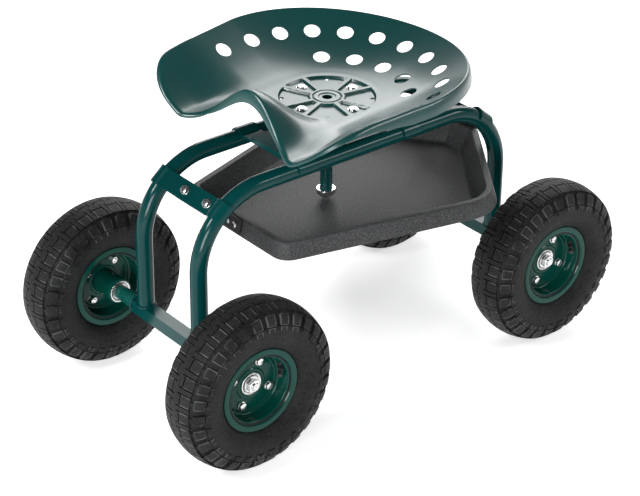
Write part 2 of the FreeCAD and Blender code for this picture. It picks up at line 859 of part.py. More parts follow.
def rim_bolt_place(index):
    """Place of one rim bolt in the wheel's plane."""
    turn = math.radians(rim_bolt_turn + 360 * index / rim_bolt_count)
    return V(rim_bolt_circle * math.cos(turn), 0, rim_bolt_circle * math.sin(turn))


def valve_rod(radius, start, length):
    """Rod at the valve's place, from a radius towards the axle."""
    turn = math.radians(valve_turn)
    out = V(math.cos(turn), 0, math.sin(turn))
    return rod(radius, out * start + V(0, valve_along, 0), out.negative(), length)


def valve():
    """Rubber valve stem through the rim with a cap on its end."""
    base = rim_seat_radius + 0.5
    flange = valve_rod(valve_radius, base, rim_plate + 0.5 + valve_reach / 2)
    cap = valve_rod(valve_radius * 0.75, base, rim_plate + valve_reach)
    return flange.fuse(cap)


def hub():
    """Hub barrel through both rim discs with a bore for its bearings."""
    length = hub_outer_end - hub_inner_end
    start = V(0, hub_inner_end, 0)
    bore = hub_radius - hub_wall
    barrel = tube(hub_radius, bore - 1.5, start, V(0, 1, 0), length)
    seats = [rod(bore, V(0, hub_inner_end, 0), V(0, 1, 0), bearing_width)]
    seats.append(rod(bore, V(0, hub_outer_end - bearing_width, 0), V(0, 1, 0), bearing_width))
    return barrel.cut(seats)


def bearings():
    """Ball bearings in both ends of the hub."""
    starts = (hub_inner_end, hub_outer_end - bearing_width)
    outer = hub_radius - hub_wall
    return [tube(outer, bearing_bore / 2, V(0, y, 0), V(0, 1, 0), bearing_width) for y in starts]


def rim_bolts():
    """Bolts that hold the rim halves together, with their nuts inside the wheel."""
    result = []
    for i in range(rim_bolt_count):
        place = rim_bolt_place(i)
        outside = V(place.x, rim_mate + rim_plate, place.z)
        inside = V(place.x, rim_mate - rim_plate, place.z)
        shank = 2 * rim_plate + nut * rim_bolt_size + washer_reach
        result.append(hex_bolt(rim_bolt_size, outside, V(0, -1, 0), shank))
        result.append(hex_nut(rim_bolt_size, inside, V(0, -1, 0)))
    return result


def on_axle(shapes, turn, x, side):
    """Roll a wheel's shapes, face them outwards on their side and move them to their axle."""
    result = []
    for shape in shapes:
        shape = shape.copy()
        shape.rotate(V(0, 0, 0), V(0, 1, 0), -turn)
        if side < 0:
            shape.rotate(V(0, 0, 0), V(0, 0, 1), 180)
        shape.translate(V(x, side * half_track, axle_height))
        result.append(shape)
    return result


def build_wheels():
    """Write the nodes of the four wheels and of what holds them on."""
    pieces = {
        "tyre": [tyre()],
        "outer_rim": [rim_half(1)],
        "inner_rim": [rim_half(-1)],
        "hub": [hub()],
        "bearings": bearings(),
        "rim_bolts": rim_bolts(),
        "valve": [valve()],
    }
    washers, locks = [], []
    for corner, x, side, turn in (
        ("front_left", -half_base, -1, front_left_turn),
        ("front_right", -half_base, 1, front_right_turn),
        ("rear_left", half_base, -1, rear_left_turn),
        ("rear_right", half_base, 1, rear_right_turn),
    ):
        for name, shapes in pieces.items():
            save(corner + "_" + name, on_axle(shapes, turn, x, side))
        save(corner + "_axle", [stub_axle(x, side)])
        washer, lock = axle_fittings(x, side)
        washers.append(washer)
        locks.append(lock)
    save("axle_washers", washers)
    save("axle_nuts", locks)


def build_frame():
    """Write the nodes of the welded frame, its crossbars and their bolts."""
    save("left_rail", [rail(-1)])
    save("right_rail", [rail(1)])
    save("front_axle_beam", [axle_beam(-half_base)])
    save("rear_axle_beam", [axle_beam(half_base)])
    front = crossbar()
    save("front_crossbar", [front])
    save("rear_crossbar", [turned(front)])
    bolts, nuts = strap_bolts(), strap_nuts()
    save("crossbar_bolts", bolts + [turned(shape) for shape in bolts])
    save("crossbar_nuts", nuts + [turned(shape) for shape in nuts])


def build_seat():
    """Write the nodes of the seat and of what carries it."""
    save("front_seat_strap", [seat_strap(-seat_strap_offset)])
    save("rear_seat_strap", [seat_strap(seat_strap_offset)])
    save("seat_bearer", [bearer()])
    save("screw_bush", [screw_bush()])
    save("spindle", [spindle()])
    save("stop_washer", [stop_washer()])
    save("stop_nut", [stop_nut()])
    save("seat_pan", on_seat([seat_pan()]))
    save("seat_plate", on_seat([seat_plate()]))
    save("seat_screws", on_seat(seat_screws()))
    save("seat_nuts", on_seat(seat_nuts()))


def build_tray():
    """Write the nodes of the tray and of what hangs it."""
    tray = on_frame(tool_tray())
    screws, nuts = [], []
    for name, end in (("front", -1), ("rear", 1)):
        tab_screws, tab_nuts, holes = tray_fixings(end)
        tray = tray.cut(holes)
        save(name + "_tray_hanger", [hanger(end, holes)])
        screws += tab_screws
        nuts += tab_nuts
    save("tool_tray", [tray])
    save("tray_screws", screws)
    save("tray_nuts", nuts)


os.makedirs("parts", exist_ok=True)
build_frame()
build_seat()
build_tray()
build_wheels()
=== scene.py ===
# %% [markdown]
# # A rolling garden seat
# The seat is a tube frame on four fat tyres, with a dished steel pan that turns and
# winds up and down, and a plastic tray slung between the rails. The exact solids come
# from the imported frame. This file dresses them: tread, pressed relief, threads,
# bevels, welds and finishes. Every piece is in the frame's own place and metres.

# %% Load the frame
import json
import math
from functools import partialmethod, reduce
import bpy
import bmesh
import numpy as np
from mathutils import Matrix, Vector

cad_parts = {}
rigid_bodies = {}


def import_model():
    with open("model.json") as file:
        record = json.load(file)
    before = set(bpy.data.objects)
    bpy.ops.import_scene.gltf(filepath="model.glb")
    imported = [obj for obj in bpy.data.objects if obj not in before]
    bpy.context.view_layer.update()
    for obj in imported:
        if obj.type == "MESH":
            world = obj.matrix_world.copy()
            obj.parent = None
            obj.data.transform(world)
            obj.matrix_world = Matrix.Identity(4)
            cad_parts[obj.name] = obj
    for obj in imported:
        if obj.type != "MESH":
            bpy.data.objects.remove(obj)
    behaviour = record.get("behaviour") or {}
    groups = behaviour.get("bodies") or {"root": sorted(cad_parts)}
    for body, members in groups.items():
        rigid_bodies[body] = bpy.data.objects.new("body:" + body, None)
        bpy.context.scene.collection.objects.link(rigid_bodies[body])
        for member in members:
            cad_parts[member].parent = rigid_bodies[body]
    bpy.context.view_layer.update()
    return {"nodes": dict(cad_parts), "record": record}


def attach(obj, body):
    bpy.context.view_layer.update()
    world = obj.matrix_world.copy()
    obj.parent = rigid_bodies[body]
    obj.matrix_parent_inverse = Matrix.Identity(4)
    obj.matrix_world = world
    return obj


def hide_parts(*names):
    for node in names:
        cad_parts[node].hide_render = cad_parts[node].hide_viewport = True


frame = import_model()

MM = 0.001
record = frame["record"]
body_of = {node: body for body, nodes in record["behaviour"]["bodies"].items() for node in nodes}
slot_of = {part["node"]: part["material_slot"] for part in record["subparts"]}
scene = bpy.context.scene


def add_object(name, data):
    """A new object of some data, linked to the scene."""
    made = bpy.data.objects.new(name, data)
    scene.collection.objects.link(made)
    return made


# %% [markdown]
# ## Camera
# A product photograph of this kind is taken from far off with a long lens, so lines stay
# nearly parallel. The camera stands ahead of the rider's left, looking down: it is turned
# round the target, then up, then rolled a little, and moved straight back.

# %% Camera
azimuth, elevation, roll = np.radians([-39.28, 29.22, 0.63])
target = np.array([-10.2, 0.0, 166.1]) * MM
distance = 3138.95 * MM
focal_pixels = 2098.26
image_width = 640
camera = add_object("camera", bpy.data.cameras.new("camera"))
turn = (Matrix.Rotation(azimuth, 4, "Z") @ Matrix.Rotation(math.pi / 2 - elevation, 4, "X")
        @ Matrix.Rotation(roll, 4, "Z"))
camera.matrix_world = Matrix.Translation(target) @ turn @ Matrix.Translation((0, 0, distance))
camera.data.sensor_fit = "HORIZONTAL"
camera.data.lens = focal_pixels * camera.data.sensor_width / image_width
camera.data.clip_end = 50
scene.camera = camera
print("lens", round(camera.data.lens, 1), "mm")

# %% [markdown]
# ## Curves and points
# A few small formulas come back all through the file: rises from 0 to 1, turns, an arc
# through three points, and lines with softened corners. All work on whole arrays, in
# millimetres.

# %% Curve helpers
UP = (0, 0, 1)
OUT = (0, 1, 0)


def rise(x, start, length):
    """0 before the start, 1 a length further on and straight in between."""
    return np.clip((x - start) / length, 0, 1)


def eased(share):
    """S-curve of a share from 0 to 1, level at both ends."""
    return share * share * (3 - 2 * share)


def unit(vectors):
    """Vectors, in the last direction of an array, at length 1."""
    vectors = np.asarray(vectors, float)
    return vectors / np.linalg.norm(vectors, axis=-1, keepdims=True)


def lengths(line):
    """Distance along a line of points from its start to each of them."""
    return np.concatenate([[0], np.cumsum(np.hypot(*np.diff(line, axis=0).T))])


def full_turn(steps):
    """Angles in radians at equal steps round a circle."""
    return np.linspace(0, 2 * np.pi, steps, endpoint=False)


def spun(a, b, angle):
    """Two coordinates, turned about the third by an angle in radians."""
    return a * math.cos(angle) - b * math.sin(angle), a * math.sin(angle) + b * math.cos(angle)


def polar(radius, turn, height):
    """Points at a radius, at an angle in radians and at a height about the Z axis."""
    return np.stack(np.broadcast_arrays(radius * np.cos(turn), radius * np.sin(turn), height), -1)


def turned(profile, steps):
    """Turn a line of (radius, height) points about Z: columns go round, rows along the line."""
    profile = np.asarray(profile, float)
    return polar(profile[:, :1], full_turn(steps), profile[:, 1:])


def aimed(points, place, along):
    """Turn points so that their Z goes along a direction, then move their origin to a place."""
    z = unit(along)
    x = unit(np.cross(UP if abs(z[2]) < 0.9 else OUT, z))
    return points @ np.stack([x, np.cross(z, x), z]) + np.asarray(place, float)


def arc_through(first, middle, last, count):
    """Points at equal turns along the circle through three points, worked out as complex numbers."""
    a, b, c = (complex(*point) for point in (first, middle, last))
    ratio = (c - a) / (b - a)
    centre = a + (b - a) * (ratio - abs(ratio) ** 2) / (2j * ratio.imag)
    sweep = np.angle((c - centre) / (a - centre))
    arc = centre + (a - centre) * np.exp(1j * sweep * np.linspace(0, 1, count))
    return np.stack([arc.real, arc.imag], -1)


def soften(points, radii, steps=5):
    """Open line whose inner corners become arcs tangent to both sides, one radius to each."""
    points = np.asarray(points, float)
    bends = [points[:1]]
    for before, corner, after, radius in zip(points, points[1:], points[2:], radii):
        a, b = unit(before - corner), unit(after - corner)
        half = math.acos(a @ b) / 2
        reach = radius / math.tan(half)
        crown = corner + unit(a + b) * (radius / math.sin(half) - radius)
        bends.append(arc_through(corner + a * reach, crown, corner + b * reach, steps))
    return np.concatenate(bends + [points[-1:]])


print("curve helpers ready")

# %% [markdown]
# ## Meshes from whole arrays
# Each shape below is a grid of points worked out in one go. The grid's rows and columns
# are joined into quads. A grid may be wrapped round in either direction, and a row that
# shrinks to one point is closed by merging its points. Since every piece is a closed
# skin, Blender can then turn all faces outwards by itself.

# %% Grid helpers
def skin(points, wrap_rows=False, wrap_columns=True):
    """A grid of points with its quads, which join neighbours along rows and columns."""
    rows, columns = points.shape[:2]
    a, b = np.meshgrid(np.arange(rows if wrap_rows else rows - 1),
                       np.arange(columns if wrap_columns else columns - 1), indexing="ij")
    low, high = a * columns, (a + 1) % rows * columns
    after = (b + 1) % columns
    quads = np.stack([low + b, low + after, high + after, high + b], -1)
    return points.reshape(-1, 3), quads.reshape(-1, 4)


def joined(skins):
    """Several skins as one: the faces of each count on from the points before it."""
    starts = np.cumsum([0] + [len(points) for points, faces in skins])
    points = np.concatenate([points for points, faces in skins])
    return points, np.concatenate([faces + start for (_, faces), start in zip(skins, starts)])


def put(shape, places):
    """A shape made about Z, set at each (place, direction) of a list, as one skin."""
    points, faces = shape
    return joined([(aimed(points, place, along), faces) for place, along in places])


def mesh_from(name, shape, crease, uv=None):
    """A mesh of a skin in metres, with doubles merged, faces outwards and sharp edges by angle."""
    points, faces = shape
    mesh = bpy.data.meshes.new(name)
    mesh.vertices.add(len(points))
    mesh.vertices.foreach_set("co", (points * MM).astype(np.float32).ravel())
    mesh.loops.add(faces.size)
    mesh.loops.foreach_set("vertex_index", faces.astype(np.int32).ravel())
    mesh.polygons.add(len(faces))
    mesh.polygons.foreach_set("loop_start", np.arange(0, faces.size, 4, dtype=np.int32))
    mesh.update(calc_edges=True)
    if uv is not None:
        mesh.uv_layers.new(name="surface").data.foreach_set("uv", uv.astype(np.float32).ravel())
    tidy = bmesh.new()
    tidy.from_mesh(mesh)
    bmesh.ops.remove_doubles(tidy, verts=tidy.verts, dist=2e-6)
    bmesh.ops.dissolve_degenerate(tidy, edges=tidy.edges, dist=1e-7)
    bmesh.ops.recalc_face_normals(tidy, faces=tidy.faces)
    tidy.to_mesh(mesh)
    tidy.free()
    mesh.polygons.foreach_set("use_smooth", np.ones(len(mesh.polygons), bool))
    mesh.set_sharp_from_angle(angle=math.radians(crease))
    return mesh


def add_piece(name, shape, finish, node, stands_for=True, crease=35.0, uv=None):
    """A finished piece: it rides with a CAD node, takes its slot and may stand for it."""
    piece = add_object(name, mesh_from(name, shape, crease, uv))
    piece.data.materials.append(finish)
    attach(piece, body_of[node])
    if stands_for:
        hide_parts(node)
    return piece


def cut(piece, shape, crease=40.0):
    """Cut a closed skin out of a piece with an applied boolean, then delete the cutter."""
    tool = add_object("cutter", mesh_from("cutter", shape, crease))
    step = piece.modifiers.new("holes", "BOOLEAN")
    step.operation = "DIFFERENCE"
    step.solver = "EXACT"
    step.object = tool
    graph = bpy.context.evaluated_depsgraph_get()
    uncut = piece.data
    piece.data = bpy.data.meshes.new_from_object(piece.evaluated_get(graph))
    piece.modifiers.clear()
    bpy.data.batch_remove((tool, tool.data, uncut))
    piece.data.set_sharp_from_angle(angle=math.radians(crease))


print("grid helpers ready")

# %% [markdown]
# ## Writing shader sums as Python
# A material is a net of nodes. Wiring it by hand is slow to read, so one small class wraps
# a socket: adding to it, taking away from it or multiplying it adds a Math node, and any
# other node comes from one method that takes its type, its settings and its sockets.

# %% Shader wires
class Wire:
    """One node output. Sums on it add Math nodes; node() adds any other node."""

    def __init__(self, tree, socket=None):
        self.tree = tree
        self.socket = socket

    def feed(self, socket, value):
        """Give a socket a plain value, or join a wire to it."""
        if isinstance(value, Wire):
            self.tree.links.new(value.socket, socket)
        else:
            socket.default_value = value

    def node(self, kind, settings=None, inputs=None, output=0):
        """Add a node of a type: its settings first, then values or wires for its sockets."""
        made = self.tree.nodes.new(kind)
        for key, value in (settings or {}).items():
            setattr(made, key, value)
        for key, value in (inputs or {}).items():
            self.feed(made.inputs[key], value)
        return Wire(self.tree, made.outputs[output])

    def sum(self, operation, other=0.0, swap=False):
        """A Math node on this value and another, or the other way round."""
        first, second = (other, self) if swap else (self, other)
        return self.node("ShaderNodeMath", {"operation": operation}, {0: first, 1: second})

    __add__ = __radd__ = partialmethod(sum, "ADD")
    __mul__ = __rmul__ = partialmethod(sum, "MULTIPLY")
    __sub__ = partialmethod(sum, "SUBTRACT")
    __rsub__ = partialmethod(sum, "SUBTRACT", swap=True)

    def axis(self, index):
        """One of the three numbers of a vector."""
        return self.node("ShaderNodeSeparateXYZ", inputs={0: self}, output=index)

    def step(self, low, high):
        """0 below low, 1 above high and smooth between them."""
        return self.node("ShaderNodeMapRange", {"interpolation_type": "SMOOTHSTEP"},
                         {"Value": self, "From Min": low, "From Max": high})

    def mix(self, first, second):
        """Colour from the first to the second, wires or linear triples, as this goes from 0 to 1."""
        ends = [end if isinstance(end, Wire) else (*end, 1.0) for end in (first, second)]
        return self.node("ShaderNodeMix", {"data_type": "RGBA"}, {0: self, 6: ends[0], 7: ends[1]}, 2)


class Finish:
    """A material under construction: its Object coordinates, its noises and its shader."""

    def __init__(self, name):
        self.material = bpy.data.materials.new(name)
        self.material.use_nodes = True
        self.shader = self.material.node_tree.nodes["Principled BSDF"]
        self.start = Wire(self.material.node_tree)
        self.place = self.start.node("ShaderNodeTexCoord", output=3)

    def noise(self, scale, detail=2.0, roughness=0.5):
        """Cloudy value from 0 to 1 whose features are about 1 / scale metres across."""
        inputs = {"Vector": self.place, "Scale": scale, "Detail": detail, "Roughness": roughness}
        return self.start.node("ShaderNodeTexNoise", inputs=inputs)

    def bump(self, height, distance, strength, **below):
        """Bump from a height of 0 to 1 that stands for a distance in millimetres."""
        inputs = {"Height": height, "Distance": distance * MM, "Strength": strength, **below}
        return self.start.node("ShaderNodeBump", inputs=inputs)

    def set(self, **sockets):
        """Give the shader's sockets values or wires, by name with _ for a space."""
        for key, value in sockets.items():
            self.start.feed(self.shader.inputs[key.replace("_", " ")], value)
        return self.material


print("shader wires ready")

# %% [markdown]
# ## Finishes
# The steel is powder coated: a glossy skin with a faint orange peel and slow drifts of
# shade. Fasteners are bright zinc plate, tyres are dark moulded rubber with painted
# highlights along the lug edges, and the tray is grained black plastic. Each finish is
# noise at the scale of the real thing, so it holds up close as well as far off.

# %% Powder coat
def powder_coat(name, deep, pale, rough, shine, coat=0.0):
    """Glossy paint: shade drifts between two greens, and the skin has a faint orange peel."""
    finish = Finish(name)
    drift = finish.noise(9.0, 3.0).step(0.3, 0.7)
    cloud = finish.noise(45.0, 4.0, 0.6)
    peel = finish.bump(finish.noise(420.0), 0.06, 0.5)
    return finish.set(Base_Color=drift.mix(deep, pale), Roughness=rough + 0.10 * cloud, Normal=peel,
                      Coat_Weight=coat, Coat_Roughness=0.16, Specular_IOR_Level=shine)


frame_paint = powder_coat("frame_paint", (0.0006, 0.032, 0.032), (0.0009, 0.038, 0.038),
                          rough=0.10, shine=0.20)
rim_paint = powder_coat("rim_paint", (0.0009, 0.039, 0.029), (0.0012, 0.045, 0.034),
                        rough=0.10, shine=0.18)
seat_paint = powder_coat("seat_paint", (0.0014, 0.040, 0.038), (0.0020, 0.046, 0.044),
                         rough=0.27, shine=0.42, coat=0.3)
print("paints", frame_paint.name, rim_paint.name, seat_paint.name)

# %% Plain finishes
zinc_shades = ((0.55, 0.56, 0.57), (0.80, 0.80, 0.78))


def cloudy(name, cloud, shades, rough, grain, depth, metallic=0.0):
    """Noise drifts between two shades and two roughnesses, over a bump of finer noise."""
    finish = Finish(name)
    drift = finish.noise(*cloud)
    low, high = rough
    return finish.set(Base_Color=drift.mix(*shades), Roughness=low + (high - low) * drift,
                      Metallic=metallic, Normal=finish.bump(finish.noise(*grain), *depth))


hanger_black = cloudy("hanger_black", (60.0, 3.0), ((0.010, 0.010, 0.011), (0.020, 0.020, 0.021)),
                      (0.38, 0.53), (900.0,), (0.08, 0.4))
valve_finish = cloudy("valve_rubber", (300.0, 3.0), ((0.008, 0.008, 0.008), (0.016, 0.016, 0.016)),
                      (0.45, 0.65), (300.0, 3.0), (0.1, 0.4))
zinc = cloudy("zinc", (160.0, 3.0, 0.6), zinc_shades, (0.16, 0.32), (1400.0,), (0.03, 0.5), 1.0)
print("plain finishes", hanger_black.name, valve_finish.name, zinc.name)

# %% Rubber and plastic
pitches = 30
pitch = 360.0 / pitches
sidewall_pitch = 15.0


def tyre_rubber():
    """Moulded rubber: UV x counts tread pitches and y is millimetres from the crown's middle.

    Two circles of pin-prick vents and fine rings lie on the sidewall, noise roughens the skin,
    and thin lines along the lugs' edges are painted pale: a painted highlight where light catches them.
    """
    finish = Finish("tyre_rubber")
    surface = finish.start.node("ShaderNodeUVMap")
    along, signed = surface.axis(0), surface.axis(1)
    across = signed.sum("ABSOLUTE")
    phase = pitch * (along + 0.5 * signed.step(0.05, -0.05)).sum("PINGPONG", 0.5)
    cloud = finish.noise(30.0, 4.0, 0.6)
    grain = finish.noise(240.0, 4.0, 0.7)

    def vents(rate, shift, level):
        """Round pits at equal steps along a circle at a distance from the crown."""
        reach = (along * rate + shift).sum("PINGPONG", 0.5) * (sidewall_pitch / rate)
        off = across - level
        return 1.0 - (reach * reach + off * off).sum("SQRT").step(1.0, 1.6)

    def edge(value, middle, other, low, high):
        """Thin line where a value is near its middle and another lies between two ends."""
        line = 1.0 - (value - middle).sum("ABSOLUTE").step(0.2, 0.45)
        return line * other.step(low - 0.2, low) * other.step(high + 0.2, high)

    def highest(wires):
        """Largest of some values."""
        return reduce(lambda first, second: first.sum("MAXIMUM", second), wires)

    block_edges = [edge(phase, 3.4, across, 10.5, 26.0), edge(across, 33.4, phase, -1.0, 3.4)]
    lug_edges = [edge(phase, 3.4, across, 34.0, 49.0), edge(across, 49.0, phase, -1.0, 3.4)]
    square_edges = [edge(phase, 2.7, across, 51.8, 58.0), edge(across, 52.2, phase, -1.0, 2.7)]
    # painted highlight: paler colour along the lug and block edges where light catches them, broken up by
    # noise
    edge_highlights = highest(block_edges + lug_edges + square_edges) * cloud.step(0.4, 0.6)
    pits = highest([vents(1.0, 0.15, 80.5), vents(0.5, 0.4, 72.0)])
    rings = (across * 2.1).sum("SINE") * across.step(60.0, 63.0) * across.step(90.0, 84.0)
    skin_bump = finish.bump(grain, 1.6, 0.9)
    ring_bump = finish.bump(rings * 0.5 + 0.5, 0.18, 0.6, Normal=skin_bump)
    rubber = (0.4 * cloud + 0.6 * grain).step(0.3, 0.7)
    rubber = rubber.mix((0.0035, 0.0037, 0.0040), (0.0170, 0.0173, 0.0176))
    # the rubber is lifted towards pale grey on the edge lines: painted highlight
    highlighted_rubber = edge_highlights.mix(rubber, (0.085, 0.087, 0.088))
    # the vent pits are painted near black: painted shade inside the holes, on top of their real bump
    return finish.set(Base_Color=pits.mix(highlighted_rubber, (0.002, 0.002, 0.002)),
                      Roughness=0.34 + 0.34 * grain, Specular_IOR_Level=0.14,
                      Normal=finish.bump(1.0 - pits, 0.6, 1.0, Normal=ring_bump))


def grained_plastic():
    """Moulded black plastic: a leathery grain of small cells that scatters the light."""
    finish = Finish("tray_plastic")
    cells = finish.start.node("ShaderNodeTexVoronoi", {"feature": "SMOOTH_F1"},
                              {"Vector": finish.place, "Scale": 620.0, "Smoothness": 0.6})
    fine = finish.noise(520.0, 3.0, 0.7)
    speckle = fine.step(0.35, 0.7).mix((0.018, 0.019, 0.020), (0.072, 0.073, 0.075))
    return finish.set(Base_Color=speckle, Roughness=0.46 + 0.14 * fine, Specular_IOR_Level=0.22,
                      Normal=finish.bump(cells + 0.4 * fine, 0.25, 0.8))


rubber_finish = tyre_rubber()
plastic_finish = grained_plastic()
print("soft finishes", rubber_finish.name, plastic_finish.name)

# %% [markdown]
# ## Finishes on the CAD parts
# Tubes, straps and brackets already have their right shape in the frame, so they only
# change finish. The record says which slot each node belongs to.

# %% Dress the CAD nodes
slot_finish = {"green_paint": frame_paint, "seat_paint": seat_paint, "black_paint": hanger_black,
               "zinc": zinc, "tyre": rubber_finish, "valve_rubber": valve_finish,
               "tray_plastic": plastic_finish}
for node, slot in slot_of.items():
    for place in frame["nodes"][node].material_slots:
        place.material = slot_finish[slot]
print("dressed", len(slot_of), "nodes")

# %% [markdown]
# ## Wheels
# All four wheels are the same at different turns. Each shape is worked out once about the
# Y axis, +Y outwards, then rolled, faced to its own side and moved to its axle.

# %% Place a wheel
axle_x = 281.0
axle_height = 127.0
half_track = 180.0
corners = {"front_left": (-axle_x, -1, 0.0), "front_right": (-axle_x, 1, 29.0),
           "rear_left": (axle_x, -1, 1.0), "rear_right": (axle_x, 1, 50.0)}


def on_axle(shape, corner):
    """Roll points by the wheel's turn about Y, face them outwards and move them to its axle."""
    points, faces = shape
    x, side, turn = corners[corner]
    a, b = spun(points[:, 0], points[:, 2], math.radians(turn))
    return np.stack([x + side * a, side * (half_track + points[:, 1]), axle_height + b], -1), faces


def on_wheels(suffix, shape, finish, node, **look):
    """The same piece on all four wheels, each named by its corner."""
    for corner in corners:
        add_piece(f"{corner}_{suffix}", on_axle(shape, corner), finish, f"{corner}_{node}", **look)


def axle_ends(distance):
    """Places on the four axles at a distance from the trolley's middle, looking outwards."""
    return [((x, distance * side, axle_height), (0, side, 0)) for x, side, turn in corners.values()]


print("wheels at", corners)

# %% [markdown]
# ## Tyres
# A pneumatic tyre of this size carries thirty pitches of blocks: a middle band, a row of
# square blocks on each side of it, shoulder lugs and small squares under them. The two
# sides are half a pitch apart. It could be sculpted or cut with booleans, but a depth
# under the smooth section, as a function of the turn and of the distance from the crown,
# gives every groove its exact place. Grid lines are laid on both lips of each groove, so
# the walls stay steep with few faces.

# %% Tyre section
tread_lines = np.array([0.75, 1.45, 1.59, 2.21, 2.35, 2.93, 3.07, 3.65, 3.79, 4.41, 4.55, 5.25])
section_lines = np.array([
    3.0, 4.0, 6.5, 8.5, 8.9, 10.1, 10.5, 14.0, 18.0, 22.0, 26.3, 27.4, 27.8, 29.2, 31.2, 32.6, 33.0,
    35.0, 38.0, 42.0, 46.0, 49.6, 50.0, 51.2, 51.6, 55.0, 58.3, 58.7, 61.0, 65.0, 70.0, 75.0, 80.0,
    85.0, 89.0])
wall_turn = 0.14
wall_run = 0.4


def mirrored(half, sign):
    """Values from the middle outwards, with the other half, times a sign, put before them."""
    return np.concatenate([sign * half[:0:-1], half])


def tyre_rows():
    """Rows of the section from the inner rim over the crown to the outer rim, with outward normals.

    One half is drawn as (radius, along) points: crown, shoulder and sidewall down to the rim.
    """
    crown = arc_through((127.0, 0.0), (125.74, 13.5), (122.0, 27.0), 60)
    wall = arc_through((117.0, 33.0), (95.0, 40.5), (65.5, 28.85), 120)
    line = np.concatenate([crown, wall])
    reach = lengths(line)
    half = np.concatenate([[0.0], section_lines, reach[-1:]])
    spot = mirrored(half, -1)
    radius = mirrored(np.interp(half, reach, line[:, 0]), 1)
    along = mirrored(np.interp(half, reach, line[:, 1]), -1)
    slope_r, slope_y = np.gradient(radius, spot), np.gradient(along, spot)
    size = np.hypot(slope_r, slope_y)
    return spot, radius, along, slope_y / size, -slope_r / size


def ramp(x, edge, width):
    """1 where x is under the edge, 0 above it, straight over a width in between."""
    return np.clip((edge - x) / width + 0.5, 0, 1)


def band(x, middle, half, width):
    """1 within half of the middle, 0 outside, straight over a width at either end."""
    return ramp(np.abs(x - middle), half, width)


def tread_depth(turn, spot):
    """Depth of the grooves at a turn in degrees and a distance from the crown's middle.

    Blocks are 8.2 degrees wide with narrow grooves round them; shoulder lugs stand between
    channels; under them small squares stand on a wall that lies a little lower. Each groove is
    a depth times a share from 0 to 1, and the deepest one counts.
    """
    away = np.abs(spot)
    shift = np.where(spot < 0, pitch / 2, 0.0)
    phase = np.abs((turn + shift + pitch / 2) % pitch - pitch / 2)
    beside = band(phase, 4.1, 0.38, wall_turn)
    between_lugs = 1 - ramp(phase, 3.72, wall_turn)
    tie_bar = ramp(phase, 1.52, wall_turn)
    square = band(away, 54.95, 3.55, wall_run) * ramp(phase, 3.0, wall_turn)
    low_wall = ramp(50.6, away, wall_run) * (1 - rise(away, 60.0, 20.0))
    channel_end = ramp(50.0, away, wall_run) * (1 - rise(away, 51.0, 9.0))
    grooves = {
        "between blocks": 3.3 * beside * band(away, 16.6, 10.1, wall_run),
        "inside blocks": 3.0 * band(away, 9.5, 0.8, wall_run) * ramp(phase, 4.1, wall_turn),
        "middle band": 2.4 * beside * ramp(away, 9.5, wall_run) * ramp(3.5, away, 1.0),
        "gutter": band(away, 30.2, 2.6, wall_run) * (3.0 - 1.6 * tie_bar),
        "between lugs": 3.4 * band(away, 41.5, 8.7, wall_run) * between_lugs,
        "under lugs": 1.5 * band(away, 50.6, 0.8, wall_run),
        "round squares": 1.3 * low_wall * (1 - square),
        "channel ends": 2.0 * channel_end * between_lugs}
    return reduce(np.maximum, grooves.values())


print("section rows", len(tyre_rows()[0]))

# %% Tyre skin
inner_wall = np.array([(64.0, 25.85), (50.95, 25.85), (50.95, 15.85), (64.0, 16.85), (78.0, 27.0),
                       (95.0, 34.0), (106.0, 31.0), (111.5, 27.0), (118.5, 14.0), (120.5, 0.0)])
inner_v = 92.0


def tyre_shape():
    """Tread over the crown, the beads, and the inside wall: one closed skin about the Y axis."""
    spot, radius, along, normal_r, normal_y = (row[:, None] for row in tyre_rows())
    lines = np.concatenate([mirrored(np.append(0.0, tread_lines), -1), [pitch / 2]])
    turn = (np.arange(pitches)[:, None] * pitch + lines).ravel()
    depth = tread_depth(turn, spot)
    inner = np.concatenate([inner_wall, inner_wall[-2::-1] * [1, -1]])
    full = np.ones((1, len(turn)))
    r = np.concatenate([radius - depth * normal_r, inner[:, :1] * full])
    y = np.concatenate([along - depth * normal_y, inner[:, 1:] * full])
    v = np.concatenate([spot * full, np.full((len(inner), len(turn)), inner_v)])
    points, faces = skin(polar(r, np.radians(turn), y)[..., [0, 2, 1]], wrap_rows=True)
    u = np.broadcast_to(turn / pitch, r.shape).ravel()[faces]
    u = u - pitches * np.round((u - u[:, :1]) / pitches)
    return (points, faces), np.stack([u, v.ravel()[faces]], -1)


tyre_skin, tyre_uv = tyre_shape()
on_wheels("tread", tyre_skin, rubber_finish, "tyre", crease=32.0, uv=tyre_uv)
print("tyre quads", len(tyre_skin[1]))

# %% [markdown]
# ## Seat pan
# A tractor seat is pressed from one sheet: a bowl for the rider, a pommel between two leg
# channels, an edge rolled down for stiffness, and rows of drain holes. The sheet is a
# height over the plan (u to the back, v to the right), carried out along rays from the
# middle to the outline, then over the rolled edge and back underneath. The round holes are
# cut last, with a boolean.

# %% Seat heights
seat_floor = 413.5
seat_turn = math.radians(6.4)
disc_edge = 73.5
pocket_depth = 3.6
bowl_start = 75.0
bowl_rim = 201.0
channel_v = 111.0


def bowl_height(u, v):
    """Flat to the disc's edge, then a power of the distance; before the middle only v counts, softly."""
    behind = (u + np.hypot(u, 30.0)) / 2
    reach = np.hypot(behind, v)
    facing = (behind / np.maximum(reach, 1e-6)) ** 2
    rim = bowl_rim + 0.1 * np.clip(u, -131.0, 0)
    return (59.0 - 12.0 * facing) * rise(reach, bowl_start, rim - bowl_start) ** 1.6


def front_height(v):
    """Along the front edge: a raised-cosine pommel, two leg channels and the side walls."""
    away = np.abs(v)
    pommel = 60.0 * ((1 + np.cos(np.pi * np.minimum(away, channel_v) / channel_v)) / 2) ** 1.25
    wall = 60.0 * rise(away, channel_v, 78.0) ** 1.3
    return np.where(away < channel_v, pommel, wall) - 2.0


